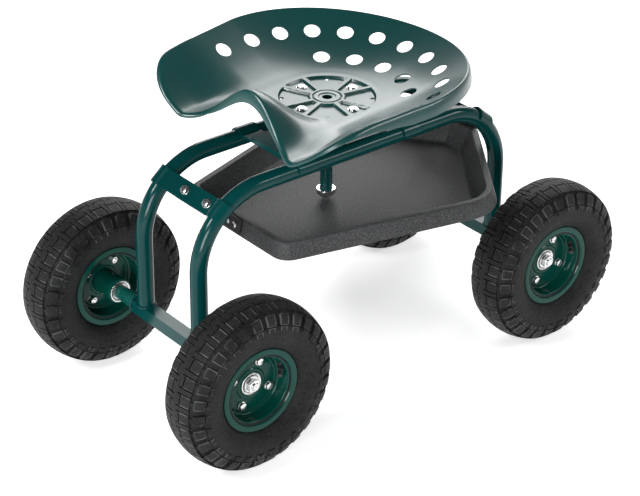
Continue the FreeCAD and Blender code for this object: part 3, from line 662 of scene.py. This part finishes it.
def pan_height(u, v):
    """Bowl at the back, going over by an S-curve to the front edge's wave, eased at the disc."""
    blend = eased(rise(-u, 55.0, 100.0))
    ease = eased(rise(np.hypot(u, v), disc_edge, 12.0))
    return ease * ((1 - blend) * bowl_height(u, v) + blend * front_height(v))


def disc_height(u, v):
    """Pressed disc: pockets between eight ribs, a grooved boss round the middle and the outer wall."""
    reach, turn = np.hypot(u, v), np.degrees(np.arctan2(v, u))
    quarter = np.abs((turn + 45.0) % 90.0 - 45.0)
    off_rib = np.abs(reach * np.sin(np.radians(quarter - 17.0)))
    rib = 1 - rise(off_rib, 3.0, 2.4)
    boss = 1 - rise(reach, 25.2, 2.2)
    wall = rise(reach, 68.6, 2.4)
    top = eased(reduce(np.maximum, (rib, boss, wall)))
    dish = 1.2 * (1 - rise(reach, 12.0, 1.0))
    groove = 1.4 * (1 - rise(np.abs(reach - 20.5), 0.0, 1.6))
    return -pocket_depth * (1 - top) - dish - groove


print("rim height at the back", round(float(pan_height(bowl_rim, 0)), 1), "mm")

# %% Seat outline
def outline_points(count):
    """Plan at equal steps: half round back, straight sides, round corners, notched front."""
    corner = arc_through((-131.0, 193.0), (-170.6, 176.6), (-187.0, 137.0), 40)
    notch = arc_through((-187.0, 105.0), (-157.0, 0.0), (-187.0, -105.0), 80)
    back = arc_through((0.0, -207.0), (146.4, -146.4), (207.0, 0.0), 60)
    half = np.concatenate([back, (back * [1, -1])[::-1][1:], corner])
    loop = np.concatenate([half, notch, (corner * [1, -1])[::-1], half[:1]])
    reach = lengths(loop)
    spot = np.linspace(0, reach[-1], count, endpoint=False)
    points = np.stack([np.interp(spot, reach, loop[:, k]) for k in (0, 1)], -1)
    window = np.hanning(13)
    rounds = [np.roll(points, k, axis=0) * w for k, w in zip(range(-6, 7), window / window.sum())]
    return np.sum(rounds, axis=0)


plan = outline_points(480)
# outward normals: the tangent from neighbour to neighbour, turned a quarter
along = unit(np.roll(plan, -1, axis=0) - np.roll(plan, 1, axis=0))
plan_out = np.stack([along[:, 1], -along[:, 0]], -1)
print("outline", plan.min(0).round(1), plan.max(0).round(1))

# %% Seat skin
edge_run = 7.0
sheet_thickness = 2.2
disc_rows = np.concatenate([[7.5, 8.0, 12.0, 13.0, 16.0, 18.9, 20.5, 22.1, 25.2, 26.3, 27.4],
                            np.linspace(28.5, 67.5, 32), [68.6, 69.8, 71.0, disc_edge]])


def roll_depth(u, v):
    """Depth of the rolled edge: 20 mm round the back, fading to 6, and a lip under the pommel."""
    lip = 18.0 * np.clip(1 - (v / 85.0) ** 2, 0, 1) * rise(-u, 0.0, 110.0)
    return np.maximum(6.0 + 14.0 * rise(u, -150.0, 110.0), lip)


def pan_shape():
    """Rows from the middle hole out over the disc, the pan and the rolled edge, and back underneath."""
    ray = unit(plan)
    inset = plan - edge_run * plan_out
    share = np.linspace(0, 1, 46)[1:, None, None]
    disc = disc_rows[:, None, None] * ray
    sheet = (1 - share) * (disc_edge * ray) + share * inset
    heights = [disc_height(disc[..., 0], disc[..., 1]), pan_height(sheet[..., 0], sheet[..., 1])]
    top = np.concatenate([np.concatenate([disc, sheet]), np.concatenate(heights)[..., None]], -1)
    edge = pan_height(inset[:, 0], inset[:, 1])
    bow = np.linspace(0, 1, 11)[1:, None] * np.pi / 2
    out = edge_run * np.sin(bow)
    fall = (1 - np.cos(bow)) * roll_depth(plan[:, 0], plan[:, 1])

    def lip(shift, lift):
        """The rolled edge's rows, moved out and up."""
        place = inset + (out[..., None] + shift) * plan_out
        return np.concatenate([place, (edge - fall + lift)[..., None]], -1)

    under = top[::-1] - (0, 0, sheet_thickness)
    return skin(np.concatenate([top, lip(0.0, 0.0), lip(-2.0, -0.6)[::-1], under]), wrap_rows=True)


def on_seat(shape):
    """Turn about Z by the seat's rest turn and lift to the seat's floor."""
    points, faces = shape
    x, y = spun(points[:, 0], points[:, 1], seat_turn)
    return np.stack([x, y, points[:, 2] + seat_floor], -1), faces


pan = add_piece("pressed_pan", on_seat(pan_shape()), seat_paint, "seat_pan", crease=40.0)
print("pan", len(pan.data.polygons), "faces")

# %% Seat holes
drain_radius = 12.5
drain_rows = ((117.0, 24.3, range(-2, 3)), (164.0, 17.5, range(-5, 6)), (171.5, 106.8, (-1, 1)))
pocket_hole_radius = 3.5
pocket_hole_distance = 65.7


def post(radius, distance, degrees, half, steps=40):
    """Round cutter at a distance and direction from the seat's middle, square to the sheet."""
    u, v = spun(distance, 0, math.radians(degrees))
    slope_u = (pan_height(u + 1, v) - pan_height(u - 1, v)) / 2
    slope_v = (pan_height(u, v + 1) - pan_height(u, v - 1)) / 2
    rod = skin(turned([(0, -half), (radius, -half), (radius, half), (0, half)], steps))
    return put(rod, [((u, v, pan_height(u, v)), (-slope_u, -slope_v, 1))])


holes = [post(drain_radius, far, k * step, 8) for far, step, places in drain_rows for k in places]
holes += [post(pocket_hole_radius, pocket_hole_distance, 45 + 90 * k, 15, 20) for k in range(4)]
cut(pan, on_seat(joined(holes)))
print("holes", len(holes), "pan now", len(pan.data.polygons), "faces")

# %% [markdown]
# ## Rims and hubs
# Each wheel has two pressed half rims bolted back to back round a hub. The press leaves no
# sharp corner: the disc has a raised bead, rolls into the barrel, and the barrel rolls into
# the flange. A lathe is the natural tool, since a rim is one line turned about the axle;
# the line is drawn with plain corners and then softened by a radius at each.

# %% Half rims
def rim_line(side):
    """Closed section of a half rim: boss, disc with a bead, barrel, ledge and flange, and back."""
    face = 1.0 + 2.0 * side
    lift = 1.5 * side
    inside = 1.0
    section = [(19.15, inside + lift), (19.15, face + lift), (22.5, face + lift), (24.2, face),
               (41.3, face), (42.6, face + 0.9 * side), (43.9, face), (48.8, face), (48.8, 24.4 * side),
               (53.2, 25.2 * side), (54.8, 28.0 * side), (63.0, 28.0 * side), (63.0, 26.0 * side),
               (56.1, 26.0 * side), (54.4, 23.2 * side), (50.8, 22.6 * side), (50.8, inside),
               (24.7, inside), (22.5, inside + lift), (19.15, inside + lift)]
    radii = [0.4, 0.9, 0.9, 0.8, 0.8, 0.8, 3.9, 2.2, 1.0, 1.2, 0.95, 0.95, 0.8, 0.8, 0.8, 3.0, 0.8, 0.8]
    return soften(section, radii)


def on_axis(profile, steps=96):
    """A closed line of (radius, along) points turned about the wheel's own axis, +Y outwards."""
    return skin(aimed(turned(profile[:-1], steps), (0, 0, 0), OUT), wrap_rows=True)


on_wheels("rim_face", on_axis(rim_line(1)), rim_paint, "outer_rim")
on_wheels("rim_back", on_axis(rim_line(-1)), rim_paint, "inner_rim")
print("rim section", len(rim_line(1)), "points")

# %% Hubs and bearings
hub_outer = 5.0
hub_inner = -46.0
hub_line = soften([(16, hub_inner), (19, hub_inner), (19, hub_outer), (16, hub_outer), (16, -5),
                   (14.5, -5), (14.5, -36), (16, -36), (16, hub_inner)],
                  [0.7, 0.7, 0.4, 0.2, 0.2, 0.2, 0.2])


def bearing_line(end, out):
    """Closed section of a flanged bearing at an end of the hub, looking out along +Y or -Y."""
    section = [(6.05, -10.0), (16.0, -10.0), (16.0, 0.05), (16.9, 0.05), (16.9, 1.0), (15.6, 1.5),
               (13.8, 0.5), (12.6, -0.4), (9.0, -0.4), (8.2, 0.0), (6.05, 0.0), (6.05, -10.0)]
    line = soften(section, [0.4, 0.1, 0.2, 0.3, 0.4, 0.4, 0.3, 0.2, 0.2, 0.2], 4)
    return np.stack([line[:, 0], end + out * line[:, 1]], -1)


races = [on_axis(bearing_line(end, out), 64) for end, out in ((hub_outer, 1), (hub_inner, -1))]
on_wheels("hub_barrel", on_axis(hub_line, 64), rim_paint, "hub")
on_wheels("bearing_rings", joined(races), zinc, "bearings")
print("bearing section", len(bearing_line(hub_outer, 1)), "points")

# %% [markdown]
# ## Valve stems
# A rubber stem is pulled through the barrel until its shoulder snaps over the hole. It is
# one turned line again, with a groove under the shoulder and a ribbed cap.

# %% Valve stems
valve_line = soften([(0, -1), (4, -1), (4, 1.6), (5.8, 3.2), (5.8, 5.0), (4.1, 7.0), (3.7, 15.0),
                     (2.7, 15.4), (2.7, 16.0), (3.5, 16.3), (3.5, 24.4), (0, 25.0)],
                    [0.3, 0.5, 0.5, 0.5, 0.8, 0.3, 0.2, 0.2, 0.3, 0.7], 4)
valve_turn = math.radians(161.0)
cap_ribs = 12


def valve_shape():
    """The stem's line turned round, its cap fluted by a wave of ribs, leaning in towards the axle."""
    level = valve_line[:, 1]
    stem = turned(valve_line, 48)
    wave = 1 - 0.05 * (0.5 + 0.5 * np.cos(cap_ribs * full_turn(48)))
    cap = ((level > 16.2) & (level < 24.6))[:, None, None]
    stem[..., :2] *= np.where(cap, wave[:, None], 1.0)
    out = np.array([math.cos(valve_turn), 0.0, math.sin(valve_turn)])
    return skin(aimed(stem, 51.3 * out + (0, 9.5, 0), (0, 0.72, 0) - 0.69 * out))


on_wheels("valve_stem", valve_shape(), valve_finish, "valve")
print("valve section", len(valve_line), "points")

# %% [markdown]
# ## Bolts, nuts and washers
# A hexagon head is a round plot whose radius grows towards the corners: the distance to a
# flat divided by the cosine of the angle from its middle. The top edge is cut by a cone,
# so each wall's height depends on that radius too, which bevels every corner as on a real
# head.

# %% Hexagon heads
flats_to_size = 1.67


def hexagon(width, height, bore=0.0, both=False):
    """Head or nut from 0 up: radius flat / cos(angle), with a cone over the top or both edges."""
    turn = full_turn(48)
    flat = width / 2
    radius = flat / np.cos((turn + np.pi / 6) % (np.pi / 3) - np.pi / 6)
    top = 0.95 * flat
    cone = (radius - top) * 0.58
    foot, low = (top, cone) if both else (0.98 * radius, 0.0)
    rows = [(bore, 0.0), (foot, 0.0), (radius, low), (radius, height - cone), (top, height), (bore, height)]
    return skin(np.stack([polar(r, turn, z) for r, z in rows]), wrap_rows=bore > 0)


def ring(bore, radius, height):
    """Washer: a flat ring with softened edges, from z = 0 up."""
    edge = min(0.3, height / 3)
    section = [(bore, 0), (radius, 0), (radius, height), (bore, height), (bore, 0)]
    return skin(turned(soften(section, [edge, edge, edge], 3)[:-1], 48), wrap_rows=True)


def bolt(size, shank, washer=0.0):
    """Hexagon head on an optional washer over z = 0, and a shank with a pointed end below it."""
    r = size / 2
    shank_line = [(0, -shank), (r - 0.8, -shank), (r, 0.8 - shank), (r, 0.1), (0, 0.1)]
    pieces = [skin(turned(shank_line, 24)),
              put(hexagon(flats_to_size * size, 0.65 * size), [((0, 0, washer), UP)])]
    if washer:
        pieces.append(ring(r, 1.08 * size, washer))
    return joined(pieces)


def hex_nut(size):
    """Nut on a bolt of a size, from z = 0 up."""
    return hexagon(flats_to_size * size, 0.8 * size, size / 2, True)


print("one head", len(hexagon(10.0, 4.0)[1]), "faces")

# %% Bolts of the wheels
bolt_circle = 34.25


def rim_bolt_shape():
    """Four bolts at equal turns on a circle, heads outside and nuts inside."""
    turns = np.radians(26.0 + 90.0 * np.arange(4))
    spots = polar(bolt_circle, turns, 0.0)[:, [0, 2, 1]]
    heads = put(bolt(6.0, 9.8, 0.8), [(spot + (0, 3.0, 0), OUT) for spot in spots])
    nuts = put(hex_nut(6.0), [(spot - (0, 1.0, 0), (0, -1, 0)) for spot in spots])
    return joined([heads, nuts])


on_wheels("rim_bolt_set", rim_bolt_shape(), zinc, "rim_bolts")
add_piece("lock_nuts", put(hexagon(18.0, 7.0, 6.0, True), axle_ends(186.8)), zinc, "axle_nuts")
add_piece("axle_rings", put(ring(6.0, 12.0, 1.5), axle_ends(185.3)), zinc, "axle_washers")
print("wheel bolts", 4 * len(corners), "lock nuts", len(corners))

# %% Bolts of the crossbars and the tray
bend_turn = math.radians(50.0)
bend_centre = np.array([-171.0, 0.0, 245.0])
bend_radius = 110.0
bend_out = np.array([-math.cos(bend_turn), 0.0, math.sin(bend_turn)])
half_turn = np.array([-1.0, -1.0, 1.0])
tray_tilt = math.radians(1.72)
tray_height = 279.8


def crossbar_places(level, facing):
    """Places of the four bolts at a level over the rails' axis, front pair and rear pair."""
    front = [bend_centre + (0, y, 0) + bend_out * (bend_radius + level) for y in (-43.0, 8.0)]
    return [(spot * flip, facing * bend_out * flip) for flip in (1.0, half_turn) for spot in front]


def on_tray(points):
    """Lean the tray's own frame up to the rear about Y and lift it to its height."""
    x, z = spun(points[..., 0], points[..., 2], tray_tilt)
    return np.stack([x, points[..., 1], z + tray_height], -1)


def tab_places(off, facing):
    """Places and directions of the four tab screws, at a distance off the skirt."""
    spots = []
    for end, inner in ((-1, -158.0), (1, 268.6)):
        out = unit([end * 25.0, 0.0, 7.0])
        spots += [(np.array([inner + end * 13.08, y, -11.0]) + out * off, out) for y in (-8.0, 8.0)]
    return [(on_tray(spot), facing * (on_tray(spot + out) - on_tray(spot))) for spot, out in spots]


add_piece("bar_bolts", put(bolt(6.6, 11.3, 1.0), crossbar_places(9.0, 1)), zinc, "crossbar_bolts")
add_piece("bar_nuts", put(hex_nut(6.0), crossbar_places(3.5, -1)), zinc, "crossbar_nuts")
add_piece("tab_screws", put(bolt(5.0, 10.6), tab_places(2.7, 1)), zinc, "tray_screws")
add_piece("tab_nuts", put(hex_nut(5.0), tab_places(-2.89, -1)), zinc, "tray_nuts")
print("crossbar bolts and tab screws in place")

# %% [markdown]
# ## Screws in the seat's disc
# Four pan-head screws hold the pan to its turning plate. The head is a turned line, and
# the cross in it is cut by two flat bars.

# %% Seat screws
screw_circle = 52.0
nut_level = -12.0
pan_head = [(0, -14.0), (2.4, -14.0), (3.0, -13.2), (3.0, 0.0), (8.0, 0.0), (8.2, 0.3), (8.0, 0.8),
            (7.0, 0.85), (7.0, 1.8), (6.7, 2.5), (6.1, 2.9), (5.2, 3.1), (0, 3.3)]


def bar(length, width, low, high):
    """Flat bar along X with closed ends: a square section swept from one end to the other."""
    x, y = length / 2, width / 2
    loop = np.array([(-y, low), (y, low), (y, high), (-y, high)])
    rows = [(-x, 0.0), (-x, 1.0), (x, 1.0), (x, 0.0)]
    centre = np.array([0.0, (low + high) / 2])
    points = [np.column_stack([np.full(4, at), centre + (loop - centre) * size]) for at, size in rows]
    return skin(np.stack(points))


def screw_places(level, along):
    """Places of the four screws on a circle, at a level over the seat's floor."""
    return [(spot, along) for spot in polar(screw_circle, np.radians(90.0 * np.arange(4)), level)]


heads_at = screw_places(-pocket_depth, UP)
screws = add_piece("disc_screws", on_seat(put(skin(turned(pan_head, 48)), heads_at)), zinc, "seat_screws")
for length, width in ((7.0, 1.4), (1.4, 7.0)):
    cut(screws, on_seat(put(bar(length, width, 1.8, 6.0), heads_at)))
plate_nuts = put(hex_nut(6.0), screw_places(nut_level, (0, 0, -1)))
add_piece("plate_nuts", on_seat(plate_nuts), zinc, "seat_nuts")
print("screws", len(heads_at), "faces", len(screws.data.polygons))

# %% [markdown]
# ## Screw spindle
# The seat winds up on a coarse screw. A thread is a radius that depends on how far a point
# is round and up: the height in leads less the turn gives its place between two crests.
# A flat-topped wave of that place makes the crest, the flanks and the root.

# %% Screw spindle
spindle_radius = 9.3
spindle_low = 252.0
spindle_high = 401.2


def thread(radius, depth, lead, low, high):
    """Rod with a screw thread: crest, flank, root and flank are each a quarter of the lead."""
    heights = np.arange(low, high, lead / 8)[:, None]
    turn = np.linspace(0, 1, 48, endpoint=False)
    wave = np.abs((heights / lead - turn) % 1.0 - 0.5) * 4
    taper = np.clip(np.minimum(heights - low, high - heights) / lead, 0, 1)
    r = radius - depth * np.maximum(np.clip(wave - 0.5, 0, 1), 1 - taper)
    tip = np.zeros((1, 48, 3))
    rows = [tip + (0, 0, low), polar(r, 2 * np.pi * turn, heights), tip + (0, 0, heights[-1, 0])]
    return skin(np.concatenate(rows))


add_piece("screw_post", thread(spindle_radius, 1.3, 4.0, spindle_low, spindle_high), frame_paint,
          "spindle", crease=50.0)
add_piece("stop_ring", put(ring(spindle_radius, 14.5, 3.0), [((0, 0, 262.0), UP)]), zinc, "stop_washer")
add_piece("stop_hexagon", put(hexagon(24.0, 7.0, spindle_radius, True), [((0, 0, 255.0), UP)]), zinc,
          "stop_nut")
print("thread from", spindle_low, "to", spindle_high, "mm")

# %% [markdown]
# ## Stub axles
# A painted spacer is welded to the beam, and a plated shaft comes out of it, threaded at
# its tip for the lock nut. Both are one turned piece: paint changes to bare zinc at the
# spacer's shoulder, by the distance from the middle of the trolley.

# %% Stub axles
finish = Finish("axle_finish")
bare = finish.place.axis(1).sum("ABSOLUTE").step(0.1331, 0.1335)
cloud = finish.noise(120.0, 3.0, 0.6)
paint = cloud.mix((0.0015, 0.052, 0.043), (0.002, 0.060, 0.050))
finish.set(Base_Color=bare.mix(paint, cloud.mix(*zinc_shades)), Metallic=bare,
           Roughness=0.20 + 0.14 * cloud, Normal=finish.bump(finish.noise(500.0), 0.05, 0.5))
axle_line = soften([(0, 90), (11, 90), (11, 133.7), (6, 133.7), (6, 186.8)], [0.4, 1.0, 0.3], 4)
axle_body = skin(turned(np.concatenate([axle_line, [(0, 186.8)]]), 48))
axle = joined([axle_body, thread(6.0, 0.7, 1.75, 186.0, 196.4)])
for corner, end in zip(corners, axle_ends(0)):
    add_piece(corner + "_stub_axle", put(axle, [end]), finish.material, corner + "_axle")
print("axles", len(corners))

# %% [markdown]
# ## Welds
# Where a rail stands on an axle beam, and where a spacer meets the beam's end, the factory
# ran a bead round the joint. A bead is a ring whose small radius swells and shrinks, under
# the same paint as the tube.

# %% Weld beads
def bead(radius, size, ripples):
    """Ring about Z: the small circle's radius has a wave of ripples along the large one."""
    along = full_turn(160)
    round_it = full_turn(12)[:, None]
    small = size * (1 + 0.12 * np.cos(ripples * along) + 0.08 * np.cos(3 * along + 1.0))
    points = polar(radius + small * np.cos(round_it), along, 0.8 * small * np.sin(round_it))
    return skin(points, wrap_rows=True)


feet = [((x, y, 137.2), UP) for x in (-axle_x, axle_x) for y in (-66.0, 66.0)]
beads = joined([put(bead(12.9, 2.0, 34), feet), put(bead(11.0, 1.8, 30), axle_ends(90.6))])
add_piece("weld_beads", beads, frame_paint, "left_rail", stands_for=False)
print("beads", len(feet) + len(corners))

# %% [markdown]
# ## Tool tray
# The tray is one plastic moulding: a tapered tub, a flat rim and a skirt that leans out.
# Its section is drawn with plain corners, softened as a moulder does, and carried round the
# six-sided plan, whose corner radii grow with the distance out, as an offset outline's do.

# %% Tray
tray_corners = np.array([(-158.0, -105.0), (147.6, -192.0), (268.6, -22.0),
                         (268.6, 22.0), (147.6, 192.0), (-158.0, 105.0)])
tray_radii = np.array([12.0, 48.0, 14.0, 14.0, 48.0, 12.0])
tray_section = soften([(-26, -32), (-18, -32), (0, 0), (10, 0), (17, -25), (14.1, -25), (7.84, -3),
                       (2.2, -3), (-15, -35), (-24, -35)], [6.0, 2.4, 3.2, 1.2, 1.2, 1.2, 1.0, 6.0], 6)
tray_middle = np.array([60.0, 0.0])
floor_shares = np.array([0.98, 0.9, 0.7, 0.45, 0.2, 0.0])


def tray_plan(offsets, steps=10):
    """Outline moved out by each offset: an arc at each corner, about a centre on its bisector."""
    along = unit(tray_corners - np.roll(tray_corners, 1, axis=0))
    out_a = along[:, ::-1] * (1, -1)
    out_b = np.roll(out_a, -1, axis=0)
    mitre = (out_a + out_b) / (1 + np.sum(out_a * out_b, axis=1, keepdims=True))
    radius = np.maximum(tray_radii + offsets[:, None], 2.0)[..., None]
    centre = tray_corners + mitre * (offsets[:, None, None] - radius)
    start = np.arctan2(out_a[:, 1], out_a[:, 0])[:, None]
    sweep = (np.roll(start, -1, axis=0) - start) % (2 * np.pi)
    arc = polar(1.0, start + sweep * np.linspace(0, 1, steps), 0.0)[..., :2]
    return (centre[:, :, None] + radius[:, :, None] * arc).reshape(len(offsets), -1, 2)


def tray_shape():
    """Section carried round the plan; the floor's two faces close towards its middle."""
    flat = tray_plan(tray_section[:, 0])
    level = np.broadcast_to(tray_section[:, None, 1:], flat.shape[:2] + (1,))
    rows = np.concatenate([flat, level], -1)

    def closed(row):
        """Rows that shrink from the section's end to the middle of the floor."""
        centre = np.append(tray_middle, row[0, 2])
        return centre + (row - centre) * floor_shares[:, None, None]

    return skin(on_tray(np.concatenate([closed(rows[0])[::-1], rows, closed(rows[-1])])))


add_piece("moulded_tray", tray_shape(), plastic_finish, "tool_tray", crease=45.0)
print("tray section", len(tray_section), "points")

# %% [markdown]
# ## Floor and light
# The picture is lit as a catalogue shot on a white sweep. One soft light stands high on
# the left of the camera, one low beside it, and a long thin one on the right draws streaks
# along the tubes. Two more stand behind the seat: the pan mirrors them, which gives it a
# pale middle. The sky is white near the horizon and dim straight up, which keeps the pan's
# walls dark.

# %% Floor and sky
scene.view_settings.view_transform = "Standard"
floor_half = 12e3
floor_grid = floor_half * np.array([[(-1, -1, 0), (1, -1, 0)], [(-1, 1, 0), (1, 1, 0)]])
floor = add_object("floor", mesh_from("floor", skin(floor_grid, wrap_columns=False), 30.0))
finish = Finish("studio_floor")
white = finish.noise(2.0).mix((0.86, 0.86, 0.86), (0.88, 0.88, 0.88))
finish.set(Base_Color=white, Roughness=0.9, Emission_Color=white, Emission_Strength=0.6)
floor.data.materials.append(finish.material)
world = bpy.data.worlds.new("studio")
world.use_nodes = True
scene.world = world
sky = Wire(world.node_tree)
height = sky.node("ShaderNodeTexCoord", output=0).axis(2)
shade = height.step(0.06, 0.4).mix((1.0, 1.0, 1.0), (0.075, 0.078, 0.080))
background = world.node_tree.nodes["Background"]
sky.feed(background.inputs["Color"], shade)
sky.feed(background.inputs["Strength"], 0.8)
print("floor", 2 * floor_half * MM, "m wide under", world.name)

# %% Lamps
def lamp(name, place, aim, width, height, power):
    """Oblong soft lamp at a place in metres, facing a point."""
    light = add_object(name, bpy.data.lights.new(name, "AREA"))
    light.data.shape = "RECTANGLE"
    light.data.size = width
    light.data.size_y = height
    light.data.energy = power
    look = Vector(aim) - Vector(place)
    light.matrix_world = Matrix.Translation(place) @ look.to_track_quat("-Z", "Y").to_matrix().to_4x4()


lamp("key", (-2.6, 0.3, 2.4), (0, 0, 0.2), 1.0, 1.0, 75.0)
lamp("front", (-2.7, -1.7, 1.0), (0, 0, 0.2), 1.2, 1.2, 75.0)
lamp("back", (1.95, 1.70, 1.80), (0, 0, 0.4), 2.5, 1.8, 70.0)
lamp("high", (1.75, 1.05, 2.50), (0, 0, 0.4), 0.9, 0.7, 8.0)
lamp("side", (1.9, -1.9, 1.7), (0, 0, 0.35), 1.8, 0.5, 30.0)
print("lamps", len(bpy.data.lights))
